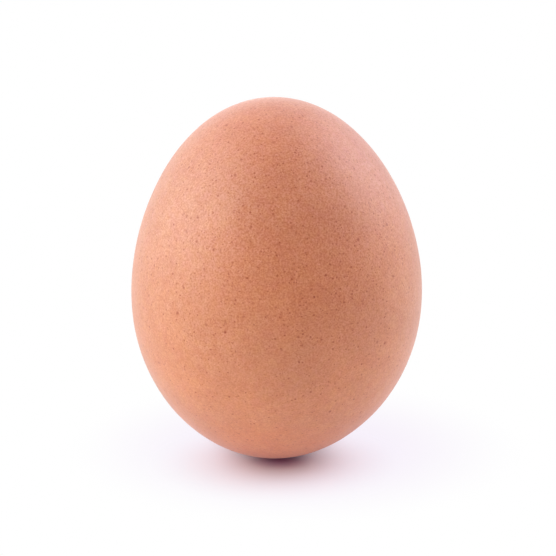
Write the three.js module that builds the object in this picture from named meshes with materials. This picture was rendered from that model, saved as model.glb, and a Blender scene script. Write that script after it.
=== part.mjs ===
// A hen's egg, one solid piece, standing on its blunt end. Millimetres, +Z up.
//
// The outline follows Preston's egg formula: an ellipse whose radius is multiplied by a short
// polynomial in the height, so that one end is blunt and the other more pointed. The middle of the
// egg is pushed a little towards +X, as most real eggs are not quite round about a straight axis.
// The blunt end has a small flat spot, which the egg stands on. The origin is the centre of that
// spot, and the pointed end is up.
import * as THREE from "three";

// Driving dimensions
const fullLength = 57.0; // from the blunt pole to the tip, before the flat spot is taken off
const midRadius = 22.22; // radius half-way along the length
const bluntness = [-0.08, -0.0247, 0.058]; // weights of u, u squared and u cubed in the radius
const bowDepth = 0.43; // how far the middle stands towards +X of a straight axis
const spotRadius = 4.5; // the flat spot that the egg stands on

// Fineness of the faceted solid
const stepsAlong = 44;
const stepsAround = 64;

const shellColour = new THREE.Color().setRGB(0.80, 0.51, 0.35, THREE.SRGBColorSpace);

const halfLength = fullLength / 2;

// u runs along the axis, from -1 at the blunt pole to +1 at the tip.
function radiusAt(u) {
  const [a, b, c] = bluntness;
  const swell = 1 + a * u + b * u * u + c * u * u * u;
  return midRadius * Math.sqrt(Math.max(0, 1 - u * u)) * swell;
}

// The place on the axis, near the blunt pole, where the egg is as wide as the flat spot.
function spotHeight() {
  let low = -1;
  let high = -0.9;
  while (high - low > 1e-9) {
    const middle = (low + high) / 2;
    if (radiusAt(middle) < spotRadius) low = middle;
    else high = middle;
  }
  return high;
}

// Half of the egg's section: out along the flat spot, then up the side to the tip. The steps are
// even in angle, so they are short where the outline turns fastest.
function sectionPoints(spotU) {
  const startAngle = Math.asin(spotU);
  const points = [new THREE.Vector2(0, 0)];
  for (let i = 0; i < stepsAlong; i++) {
    const angle = THREE.MathUtils.lerp(startAngle, Math.PI / 2, i / stepsAlong);
    const u = Math.sin(angle);
    points.push(new THREE.Vector2(radiusAt(u), (u - spotU) * halfLength));
  }
  points.push(new THREE.Vector2(0, (1 - spotU) * halfLength));
  return points;
}

// Moves each ring of points towards +X by its share of the bow, none at the spot and the tip.
function bowSideways(geometry, spotU) {
  const position = geometry.getAttribute("position");
  const bowAt = (u) => bowDepth * (1 - u * u);
  for (let i = 0; i < position.count; i++) {
    const u = position.getZ(i) / halfLength + spotU;
    position.setX(i, position.getX(i) + bowAt(u) - bowAt(spotU));
  }
}

function makeEgg() {
  const spotU = spotHeight();
  const geometry = new THREE.LatheGeometry(sectionPoints(spotU), stepsAround);
  geometry.rotateX(Math.PI / 2);
  bowSideways(geometry, spotU);
  geometry.computeVertexNormals();
  const material = new THREE.MeshStandardMaterial({
    color: shellColour,
    roughness: 0.6,
    metalness: 0,
  });
  const egg = new THREE.Mesh(geometry, material);
  egg.name = "egg";
  return egg;
}

const part = new THREE.Group();
part.add(makeEgg());

export default part;
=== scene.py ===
import math

import bpy
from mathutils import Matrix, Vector


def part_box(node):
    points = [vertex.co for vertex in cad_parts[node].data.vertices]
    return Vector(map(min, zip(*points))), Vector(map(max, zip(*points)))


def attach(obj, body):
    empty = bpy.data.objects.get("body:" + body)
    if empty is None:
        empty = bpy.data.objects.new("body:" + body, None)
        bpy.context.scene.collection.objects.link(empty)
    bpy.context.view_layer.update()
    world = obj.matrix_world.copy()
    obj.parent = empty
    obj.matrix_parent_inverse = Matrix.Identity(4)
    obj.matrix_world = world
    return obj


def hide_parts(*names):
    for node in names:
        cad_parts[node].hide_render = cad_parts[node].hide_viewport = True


# A brown hen's egg standing on its blunt end. Metres, +Z up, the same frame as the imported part.
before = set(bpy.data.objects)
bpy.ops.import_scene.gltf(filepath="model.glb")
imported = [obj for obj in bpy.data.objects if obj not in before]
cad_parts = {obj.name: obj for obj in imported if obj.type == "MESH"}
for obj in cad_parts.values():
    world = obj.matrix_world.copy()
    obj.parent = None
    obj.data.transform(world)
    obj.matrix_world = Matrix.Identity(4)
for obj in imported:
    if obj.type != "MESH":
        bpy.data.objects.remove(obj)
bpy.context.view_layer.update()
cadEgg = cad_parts["egg"]
eggLow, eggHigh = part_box("egg")
eggSize = eggHigh - eggLow
eggMiddle = (eggLow + eggHigh) / 2
millimetre = 0.001
print("frame loaded, egg is", [round(side / millimetre, 2) for side in eggSize], "mm")


def deselectAll():
    bpy.ops.object.select_all(action="DESELECT")


def pickOnly(piece):
    deselectAll()
    piece.select_set(True)
    bpy.context.view_layer.objects.active = piece


def applyModifier(piece, modifier):
    pickOnly(piece)
    bpy.ops.object.modifier_apply(modifier=modifier.name)


cameraView = {
    "elevation": 22.0,     # degrees above the floor
    "distance": 0.5,       # from the point it looks at
    "lens": 211.2,         # mm
    "sensorWidth": 36,     # mm
    "nearest": 0.01,       # the camera sees nothing closer than this
    "farthest": 10,        # or beyond this
    "aimAside": 0.62,      # mm to the right of the egg's axis
    "aimHeight": 0.497,    # share of the egg's height
}


def makeCamera(settings):
    tilt = math.radians(settings["elevation"])
    aim = Vector((settings["aimAside"] * millimetre, 0, eggLow.z + settings["aimHeight"] * eggSize.z))
    back = Vector((0, -math.cos(tilt), math.sin(tilt)))
    bpy.ops.object.camera_add(location=aim + back * settings["distance"])
    camera = bpy.context.object
    camera.name = "studioCamera"
    camera.rotation_euler = (math.pi / 2 - tilt, 0, 0)
    camera.data.sensor_width = settings["sensorWidth"]
    camera.data.lens = settings["lens"]
    camera.data.clip_start = settings["nearest"]
    camera.data.clip_end = settings["farthest"]
    bpy.context.scene.camera = camera
    print("camera placed at", [round(c, 4) for c in camera.location])


eggSurface = {
    "firstCuts": 59,         # cuts along each edge of the starting cube
    "secondCuts": 1,         # and along each edge that those make
    "standOff": 0.09,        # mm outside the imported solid, which the smoothing then takes up
    "smoothRounds": 60,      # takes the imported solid's facets out
    "footHeight": 0.12,      # mm, what lies lower than this is flattened onto the floor
    # relief, all in mm: the size of its lumps and how far they rise from their hollows
    "relief": {
        "swell": {"size": 9.0, "depth": 0.07},
        "peel": {"size": 1.6, "depth": 0.016},
        "grain": {"size": 0.8, "depth": 0.008},
    },
}


def spreadEvenly(piece):
    # equal angles on each side of the cube, so that the squares stay nearly alike on the ball
    for vertex in piece.data.vertices:
        vertex.co = [math.tan(c * math.pi / 4) for c in vertex.co]


def addRelief(piece, name, lumps):
    texture = bpy.data.textures.new(name, "CLOUDS")
    texture.noise_scale = lumps["size"] * millimetre
    texture.noise_depth = 1
    relief = piece.modifiers.new(name, "DISPLACE")
    relief.texture = texture
    relief.texture_coords = "LOCAL"
    relief.direction = "NORMAL"
    relief.strength = lumps["depth"] * millimetre
    relief.mid_level = 0.5
    applyModifier(piece, relief)


def flattenFoot(piece, footHeight):
    pickOnly(piece)
    bpy.ops.object.mode_set(mode="EDIT")
    bpy.ops.mesh.select_mode(type="VERT")
    bpy.ops.mesh.select_all(action="DESELECT")
    bpy.ops.object.mode_set(mode="OBJECT")
    for vertex in piece.data.vertices:
        vertex.select = vertex.co.z < eggLow.z + footHeight
    bpy.ops.object.mode_set(mode="EDIT")
    bpy.ops.transform.resize(value=(1, 1, 0), center_override=(0, 0, eggLow.z))
    bpy.ops.object.mode_set(mode="OBJECT")


def makeEggSurface(settings):
    deselectAll()
    bpy.ops.mesh.primitive_cube_add(size=2, location=(0, 0, 0))
    egg = bpy.context.object
    egg.name = "speckled_egg_surface"
    egg.data.name = egg.name
    bpy.ops.object.mode_set(mode="EDIT")
    bpy.ops.mesh.select_all(action="SELECT")
    bpy.ops.mesh.subdivide(number_cuts=settings["firstCuts"])
    bpy.ops.mesh.subdivide(number_cuts=settings["secondCuts"])
    bpy.ops.object.mode_set(mode="OBJECT")
    spreadEvenly(egg)
    bpy.ops.object.mode_set(mode="EDIT")
    bpy.ops.mesh.select_all(action="SELECT")
    bpy.ops.transform.tosphere(value=1)
    bpy.ops.object.mode_set(mode="OBJECT")
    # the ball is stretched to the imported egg's box, then drawn onto it and smoothed
    egg.dimensions = eggSize
    egg.location = eggMiddle
    bpy.ops.object.transform_apply(location=True, rotation=True, scale=True)
    wrap = egg.modifiers.new("drawnOntoFrame", "SHRINKWRAP")
    wrap.target = cadEgg
    wrap.wrap_method = "NEAREST_SURFACEPOINT"
    wrap.wrap_mode = "ABOVE_SURFACE"
    wrap.offset = settings["standOff"] * millimetre
    applyModifier(egg, wrap)
    relax = egg.modifiers.new("facetsOut", "SMOOTH")
    relax.factor = 1.0
    relax.iterations = settings["smoothRounds"]
    applyModifier(egg, relax)
    print("egg surface drawn,", len(egg.data.polygons), "faces")
    for name, lumps in settings["relief"].items():
        addRelief(egg, name, lumps)
    flattenFoot(egg, settings["footHeight"] * millimetre)
    pickOnly(egg)
    bpy.ops.object.shade_smooth()
    print("relief added and foot flattened")
    return egg


noiseLow, noiseHigh = 0.3, 0.7    # nearly all of a noise texture's values lie between these
# places of a Mix node's colour sockets, which share their names with its other sockets
mixAmount, mixFirst, mixSecond, mixResult = 0, 6, 7, 2


def feed(tree, value, socket):
    # another node's output is linked, and a number or colour is set on the socket
    if isinstance(value, bpy.types.NodeSocket):
        tree.links.new(value, socket)
    elif isinstance(value, tuple):
        socket.default_value = (*value, 1)
    else:
        socket.default_value = value


def addMath(tree, operation, first, second=0.0):
    node = tree.nodes.new("ShaderNodeMath")
    node.operation = operation
    feed(tree, first, node.inputs[0])
    feed(tree, second, node.inputs[1])
    return node.outputs[0]


def addRange(tree, value, fromLow, fromHigh, toLow=0.0, toHigh=1.0, soft=False):
    node = tree.nodes.new("ShaderNodeMapRange")
    node.interpolation_type = "SMOOTHSTEP" if soft else "LINEAR"
    feed(tree, value, node.inputs["Value"])
    feed(tree, fromLow, node.inputs["From Min"])
    feed(tree, fromHigh, node.inputs["From Max"])
    feed(tree, toLow, node.inputs["To Min"])
    feed(tree, toHigh, node.inputs["To Max"])
    return node.outputs["Result"]


def addNoise(tree, place, size, detail=1.0):
    # a smooth random pattern with lumps of about that size, in mm
    node = tree.nodes.new("ShaderNodeTexNoise")
    feed(tree, place, node.inputs["Vector"])
    node.inputs["Scale"].default_value = 1 / size
    node.inputs["Detail"].default_value = detail
    return node


def addTint(tree, colour, tint, amount):
    # the colour times the tint, as far as amount says
    node = tree.nodes.new("ShaderNodeMix")
    node.data_type = "RGBA"
    node.blend_type = "MULTIPLY"
    feed(tree, amount, node.inputs[mixAmount])
    feed(tree, colour, node.inputs[mixFirst])
    feed(tree, tint, node.inputs[mixSecond])
    return node.outputs[mixResult]


shellFinish = {
    "specular": 0.6,
    "sheen": 0.32,                # the powdery bloom, seen where the shell turns away
    "sheenRoughness": 0.5,
    "roughness": 0.5,
    "roughnessSpread": 0.12,      # between its smoothest and its roughest places
    "footDullness": 0.3,          # how much rougher the shell is by its foot
    "dullUpTo": 0.12,             # share of the height where that ends
    # colour in linear values, by the share of the egg's height; the lowest band, by the foot, is darker and
    # redder as painted shade near the floor
    "colourByHeight": {
        0.0: (0.66, 0.13, 0.005),
        0.12: (0.79, 0.28, 0.1),
        0.25: (0.78, 0.33, 0.16),
        0.5: (0.73, 0.33, 0.18),
        0.75: (0.73, 0.32, 0.19),
        1.0: (0.71, 0.28, 0.17),
    },
    "wander": 0.08,               # how far the height bands stray, as a share of the height
    # broad patches of painted light: painted shade on the camera-facing front and the low sides, and a
    # painted pale sheen at the upper left and right rims and the top; each fades out at its reach, in mm
    "patches": {
        "paintedShadeFront": {"middle": (5.0, -22.0, 33.0), "reach": 22.0, "tint": (0.97, 0.83, 0.71)},
        "paintedSheenLeft": {"middle": (-17.0, -5.0, 45.0), "reach": 22.0, "tint": (1.0, 1.17, 1.36)},
        "paintedSheenRight": {"middle": (18.0, -1.0, 47.0), "reach": 16.0, "tint": (1.03, 1.13, 1.42)},
        "paintedSheenTop": {"middle": (9.0, -2.0, 53.0), "reach": 13.0, "tint": (1.0, 1.04, 1.18)},
        "paintedShadeLowLeft": {"middle": (-18.0, -4.0, 11.0), "reach": 18.0, "tint": (0.86, 0.78, 0.66)},
        "paintedShadeLowRight": {"middle": (17.0, -4.0, 11.0), "reach": 14.0, "tint": (1.03, 0.92, 0.77)},
    },
    # clouds in the pigment, mm: each goes from its tint to none and back
    "clouds": {
        "broad": {"size": 13.0, "tint": (0.93, 0.90, 0.88), "detail": 1.0},
        "blotches": {"size": 3.8, "tint": (0.95, 0.93, 0.92), "detail": 1.0},
        "rosy": {"size": 1.9, "tint": (1.0, 0.93, 0.96), "detail": 1.0},
        "golden": {"size": 1.2, "tint": (1.0, 0.99, 0.83), "detail": 1.0},
        "mottle": {"size": 0.9, "tint": (0.95, 0.90, 0.84), "detail": 2.0},
        "grain": {"size": 0.27, "tint": (0.80, 0.60, 0.41), "detail": 1.0},
    },
    # specks, mm: one in each cell of the pattern at most; the tint is that of a speck at full strength
    "specks": {
        "paleGrains": {"spacing": 0.45, "share": 0.7, "smallest": 0.08, "largest": 0.16,
                       "weakest": 0.1, "strongest": 0.8, "tint": (1.12, 1.42, 1.9)},
        "dust": {"spacing": 0.34, "share": 0.75, "smallest": 0.07, "largest": 0.13,
                 "weakest": 0.2, "strongest": 1.0, "tint": (0.72, 0.42, 0.12)},
        "pinpoints": {"spacing": 0.55, "share": 0.8, "smallest": 0.12, "largest": 0.25,
                      "weakest": 0.3, "strongest": 1.0, "tint": (0.62, 0.27, 0.05)},
        "spots": {"spacing": 1.4, "share": 0.45, "smallest": 0.2, "largest": 0.38,
                  "weakest": 0.3, "strongest": 1.0, "tint": (0.62, 0.28, 0.08)},
    },
    "speckCore": 0.25,            # share of a speck's radius that is dark all over
    "raggedSize": 0.25,           # mm, the size of the bumps in a speck's edge
    "raggedness": 0.10,           # mm, how far they stray
    "sparseEnd": 0.22,            # share of the height under which specks and grain are sparsest
    "denseFrom": 0.75,            # and above which they are densest
    "specksBelow": 0.42,          # what is left of the specks' number under the first
    "grainBelow": 0.7,            # and of the grain's strength
    "patchSize": 3.0,             # mm, the size of the patches with more and with fewer specks
    "patchFewest": 0.3,           # the specks' number in a sparse patch, as a share of the usual
    "patchMost": 1.5,             # and in a dense one
    "poreSize": 0.4,              # mm
    "poreDepth": 0.006,           # mm
}


def addPigmentAndPaintedLight(tree, height, place, grainShare, settings):
    # colour bands by height, with edges that wander, then patches of painted shade and painted sheen, and
    # clouds
    stray = addNoise(tree, place, settings["clouds"]["broad"]["size"])
    shift = addRange(tree, stray.outputs["Fac"], 0, 1, -settings["wander"], settings["wander"])
    bands = tree.nodes.new("ShaderNodeValToRGB")
    bands.color_ramp.interpolation = "EASE"
    feed(tree, addMath(tree, "ADD", height, shift), bands.inputs["Fac"])
    stops = bands.color_ramp.elements
    for share in list(settings["colourByHeight"])[1:-1]:
        stops.new(share)
    # the lowest stop's colour, at the foot, carries painted shade
    for stop, colour in zip(stops, settings["colourByHeight"].values()):
        stop.color = (*colour, 1)
    colour = bands.outputs["Color"]
    # patches of painted shade and painted sheen, each fading out from its middle
    for paintedPatch in settings["patches"].values():
        away = tree.nodes.new("ShaderNodeVectorMath")
        away.operation = "DISTANCE"
        feed(tree, place, away.inputs[0])
        away.inputs[1].default_value = paintedPatch["middle"]
        amount = addRange(tree, away.outputs["Value"], 0, paintedPatch["reach"], 1, 0, soft=True)
        colour = addTint(tree, colour, paintedPatch["tint"], amount)
    for name, cloud in settings["clouds"].items():
        lumps = addNoise(tree, place, cloud["size"], cloud["detail"])
        amount = addRange(tree, lumps.outputs["Fac"], noiseLow, noiseHigh)
        if name == "grain":
            amount = addMath(tree, "MULTIPLY", amount, grainShare)
        colour = addTint(tree, colour, cloud["tint"], amount)
    return colour


def addSpecks(tree, place, crowd, layer, core):
    # a speck round each cell's point, with its own size and darkness, and only in some cells
    cells = tree.nodes.new("ShaderNodeTexVoronoi")
    feed(tree, place, cells.inputs["Vector"])
    cells.inputs["Scale"].default_value = 1 / layer["spacing"]
    chance = tree.nodes.new("ShaderNodeSeparateColor")
    feed(tree, cells.outputs["Color"], chance.inputs["Color"])
    radius = addRange(tree, chance.outputs["Red"], 0, 1,
                      layer["smallest"] / layer["spacing"], layer["largest"] / layer["spacing"])
    cover = addRange(tree, cells.outputs["Distance"], addMath(tree, "MULTIPLY", radius, core), radius,
                     1, 0, soft=True)
    wanted = addMath(tree, "MULTIPLY", crowd, layer["share"])
    kept = addMath(tree, "LESS_THAN", chance.outputs["Green"], wanted)
    darkness = addRange(tree, chance.outputs["Blue"], 0, 1, layer["weakest"], layer["strongest"])
    return addMath(tree, "MULTIPLY", addMath(tree, "MULTIPLY", cover, kept), darkness)


def addRaggedPlace(tree, place, size, amount):
    # shakes the place a little, so that the specks aren't round
    shake = addNoise(tree, place, size, 0)
    centred = tree.nodes.new("ShaderNodeVectorMath")
    centred.operation = "SUBTRACT"
    feed(tree, shake.outputs["Color"], centred.inputs[0])
    centred.inputs[1].default_value = (0.5, 0.5, 0.5)
    moved = tree.nodes.new("ShaderNodeVectorMath")
    moved.operation = "MULTIPLY_ADD"
    feed(tree, centred.outputs["Vector"], moved.inputs[0])
    moved.inputs[1].default_value = (amount, amount, amount)
    feed(tree, place, moved.inputs[2])
    return moved.outputs["Vector"]


def makeShellMaterial(settings):
    material = bpy.data.materials.new("brownSpeckledShell")
    material.use_nodes = True
    tree = material.node_tree
    shader = tree.nodes["Principled BSDF"]
    shader.inputs["Specular IOR Level"].default_value = settings["specular"]
    shader.inputs["Sheen Weight"].default_value = settings["sheen"]
    shader.inputs["Sheen Roughness"].default_value = settings["sheenRoughness"]
    # the pattern is laid out in mm, from the middle of the foot
    where = tree.nodes.new("ShaderNodeTexCoord")
    inMm = tree.nodes.new("ShaderNodeMapping")
    inMm.inputs["Scale"].default_value = [1 / millimetre] * 3
    feed(tree, where.outputs["Object"], inMm.inputs["Vector"])
    place = inMm.outputs["Vector"]
    sides = tree.nodes.new("ShaderNodeSeparateXYZ")
    feed(tree, place, sides.inputs["Vector"])
    height = addMath(tree, "DIVIDE", sides.outputs["Z"], eggSize.z / millimetre)

    up = addRange(tree, height, settings["sparseEnd"], settings["denseFrom"], soft=True)
    grainShare = addRange(tree, up, 0, 1, settings["grainBelow"], 1)
    speckShare = addRange(tree, up, 0, 1, settings["specksBelow"], 1)
    colour = addPigmentAndPaintedLight(tree, height, place, grainShare, settings)
    patches = addNoise(tree, place, settings["patchSize"])
    crowding = addRange(tree, patches.outputs["Fac"], noiseLow, noiseHigh,
                        settings["patchFewest"], settings["patchMost"])
    crowd = addMath(tree, "MULTIPLY", speckShare, crowding)
    ragged = addRaggedPlace(tree, place, settings["raggedSize"], settings["raggedness"])
    for layer in settings["specks"].values():
        cover = addSpecks(tree, ragged, crowd, layer, settings["speckCore"])
        colour = addTint(tree, colour, layer["tint"], cover)
    feed(tree, colour, shader.inputs["Base Color"])

    pores = addNoise(tree, place, settings["poreSize"], 2)
    spread = settings["roughnessSpread"]
    roughness = addRange(tree, pores.outputs["Fac"], noiseLow, noiseHigh,
                         settings["roughness"] - spread / 2, settings["roughness"] + spread / 2)
    dullness = addRange(tree, height, 0, settings["dullUpTo"], settings["footDullness"], 0, soft=True)
    feed(tree, addMath(tree, "ADD", roughness, dullness), shader.inputs["Roughness"])
    bump = tree.nodes.new("ShaderNodeBump")
    bump.inputs["Distance"].default_value = settings["poreDepth"] * millimetre
    feed(tree, pores.outputs["Fac"], bump.inputs["Height"])
    feed(tree, bump.outputs["Normal"], shader.inputs["Normal"])
    print("shell finish made,", len(tree.nodes), "nodes")
    return material


studio = {
    "floorSide": 6.0,                       # metres, as are the lamps' distances and sides
    "floorColour": (0.9, 0.87, 0.95),
    "paintedContactShadeColour": (0.65, 0.35, 0.55),    # painted contact shadow, darker and redder: what the floor's colour is multiplied by in front of the foot
    "paintedHaloShadeColour": (0.93, 0.87, 0.96),       # painted faint shadow round the egg: what the floor turns to farther off, and then to plain white
    # each ring's middle lies so many mm to the right of the foot's and so many ahead of it, towards the
    # camera; it starts and ends so many mm from there, and at the sides that is divided by the squeeze
    "paintedContactShadeRing": {"start": 0.0, "end": 4.5, "squeeze": 0.75, "aside": 1.0, "ahead": 5.5},
    "shadowRing": {"start": 4.0, "end": 12.0, "squeeze": 1.0, "aside": 0.0, "ahead": -5.0},
    "paleRing": {"start": 1.5, "end": 15.0, "squeeze": 0.75, "aside": 0.5, "ahead": 7.0},
    "whiteRing": {"start": 6.0, "end": 28.0, "squeeze": 0.75, "aside": 3.5, "ahead": 1.5},
    "worldLight": 0.43,                     # how bright the background is as a light, white being 1
    # azimuth from the camera's side, negative to its left; light is the level on a surface facing the lamp
    "lamps": {
        "leftSoftbox": {"azimuth": -82, "elevation": 24, "distance": 0.75, "side": 0.9,
                        "light": 1.27, "tint": (0.98, 1, 1.01)},
        "rightSoftbox": {"azimuth": 112, "elevation": 32, "distance": 0.75, "side": 0.63,
                         "light": 0.68, "tint": (1, 0.97, 1.08)},
        "backSoftbox": {"azimuth": 190, "elevation": 43, "distance": 0.75, "side": 1.5,
                        "light": 0.5, "tint": (1, 1, 1)},
    },
}


def addSeenDirectly(tree):
    # 1 for what the camera sees, straight or in a gloss or through glass, and 0 for what lights other things
    rays = tree.nodes.new("ShaderNodeLightPath")
    seen = addMath(tree, "MAXIMUM", rays.outputs["Is Camera Ray"], rays.outputs["Is Glossy Ray"])
    return addMath(tree, "MAXIMUM", seen, rays.outputs["Is Transmission Ray"])


def addRing(tree, place, ring):
    # 0 inside the ring's start and 1 outside its end
    inMm = tree.nodes.new("ShaderNodeMapping")
    inMm.inputs["Location"].default_value = (-ring["aside"] * ring["squeeze"], ring["ahead"], 0)
    inMm.inputs["Scale"].default_value = (ring["squeeze"] / millimetre, 1 / millimetre, 1)
    feed(tree, place, inMm.inputs["Vector"])
    away = tree.nodes.new("ShaderNodeVectorMath")
    away.operation = "LENGTH"
    feed(tree, inMm.outputs["Vector"], away.inputs[0])
    return addRange(tree, away.outputs["Value"], ring["start"], ring["end"], soft=True)


def addFade(tree, near, far, amount):
    # from the near colour to the far one
    node = tree.nodes.new("ShaderNodeMix")
    node.data_type = "RGBA"
    feed(tree, amount, node.inputs[mixAmount])
    feed(tree, near, node.inputs[mixFirst])
    feed(tree, far, node.inputs[mixSecond])
    return node.outputs[mixResult]


def makeFloor(settings):
    bpy.ops.mesh.primitive_plane_add(size=settings["floorSide"], location=(0, 0, eggLow.z))
    floor = bpy.context.object
    floor.name = "paleFloor"
    material = bpy.data.materials.new("paleFloor")
    material.use_nodes = True
    tree = material.node_tree
    tree.nodes.remove(tree.nodes["Principled BSDF"])
    where = tree.nodes.new("ShaderNodeTexCoord").outputs["Object"]
    # the floor keeps the egg's shadow near it, with a painted contact shadow darkening it in front of the
    # foot, and farther off it is plain
    floorColour = settings["floorColour"]
    paintedContactShade = tuple(a * b for a, b in zip(floorColour, settings["paintedContactShadeColour"]))
    matte = tree.nodes.new("ShaderNodeBsdfDiffuse")
    # painted contact shadow: the matte floor is darker and redder in front of the foot
    feed(tree, addFade(tree, paintedContactShade, floorColour, addRing(tree, where, settings["paintedContactShadeRing"])),
         matte.inputs["Color"])
    plain = tree.nodes.new("ShaderNodeEmission")
    white = addRing(tree, where, settings["whiteRing"])
    # the plain floor farther off starts as a painted faint shadow round the egg and fades to white
    feed(tree, addFade(tree, settings["paintedHaloShadeColour"], (1.0, 1.0, 1.0), white), plain.inputs["Color"])
    # under the egg and behind it, its own shadow stays as it falls
    pale = addMath(tree, "MULTIPLY", addRing(tree, where, settings["shadowRing"]),
                   addRing(tree, where, settings["paleRing"]))
    blend = tree.nodes.new("ShaderNodeMixShader")
    feed(tree, addMath(tree, "MULTIPLY", pale, addSeenDirectly(tree)), blend.inputs["Fac"])
    feed(tree, matte.outputs["BSDF"], blend.inputs[1])
    feed(tree, plain.outputs["Emission"], blend.inputs[2])
    feed(tree, blend.outputs["Shader"], tree.nodes["Material Output"].inputs["Surface"])
    floor.data.materials.append(material)
    print("floor laid")


def makeWorld(settings):
    world = bpy.data.worlds.new("studioWorld")
    bpy.context.scene.world = world
    world.use_nodes = True
    tree = world.node_tree
    background = tree.nodes["Background"]
    background.inputs["Color"].default_value = (1, 1, 1, 1)
    feed(tree, addRange(tree, addSeenDirectly(tree), 0, 1, settings["worldLight"], 1),
         background.inputs["Strength"])


def makeLamp(name, lamp):
    turn, rise = math.radians(lamp["azimuth"]), math.radians(lamp["elevation"])
    towards = Vector((math.sin(turn) * math.cos(rise), -math.cos(turn) * math.cos(rise), math.sin(rise)))
    bpy.ops.object.light_add(type="AREA", location=eggMiddle + towards * lamp["distance"])
    softbox = bpy.context.object
    softbox.name = name
    softbox.rotation_euler = towards.to_track_quat("Z", "Y").to_euler()
    softbox.data.shape = "SQUARE"
    softbox.data.size = lamp["side"]
    softbox.data.energy = lamp["light"] * (math.pi * lamp["distance"]) ** 2
    softbox.data.color = lamp["tint"]
    softbox.visible_camera = False


def makeStudio(settings):
    makeFloor(settings)
    makeWorld(settings)
    for name, lamp in settings["lamps"].items():
        makeLamp(name, lamp)
    bpy.context.scene.view_settings.view_transform = "Standard"
    print("studio lit with", len(settings["lamps"]), "lamps")


makeCamera(cameraView)
egg = makeEggSurface(eggSurface)
egg.data.materials.append(makeShellMaterial(shellFinish))
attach(egg, "root")
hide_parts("egg")
makeStudio(studio)

print("finished")
